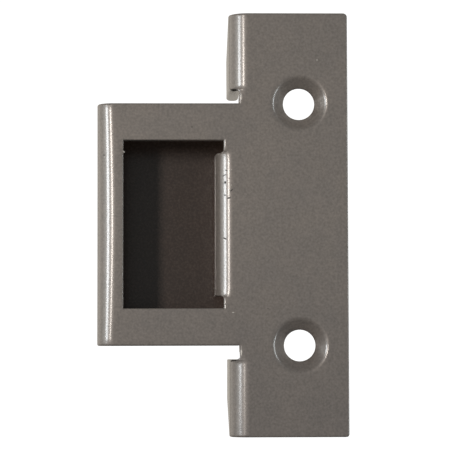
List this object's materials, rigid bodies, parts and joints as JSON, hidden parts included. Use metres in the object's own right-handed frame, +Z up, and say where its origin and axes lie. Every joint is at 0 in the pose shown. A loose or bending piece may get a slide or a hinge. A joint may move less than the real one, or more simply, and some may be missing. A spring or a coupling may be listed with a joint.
{
  "type": "door strike plate",
  "caption": "One-piece folded steel strike for a surface-mounted latch: screwed plate, folded flanges and an open-ended latch box with a window",
  "frame": {"origin": "on the back of the mounting plate, half way between the two screw holes", "axes": "+X to the right of the front view, towards the plate's free edge; +Y back into the door frame; +Z up along the plate"},
  "size_m": [0.0414, 0.016, 0.07],
  "materials": {
    "painted_steel": "silver-grey metallic paint, satin"
  },
  "bodies": {
    "root": {"strike_plate": "painted_steel"}
  },
  "joints": []
}
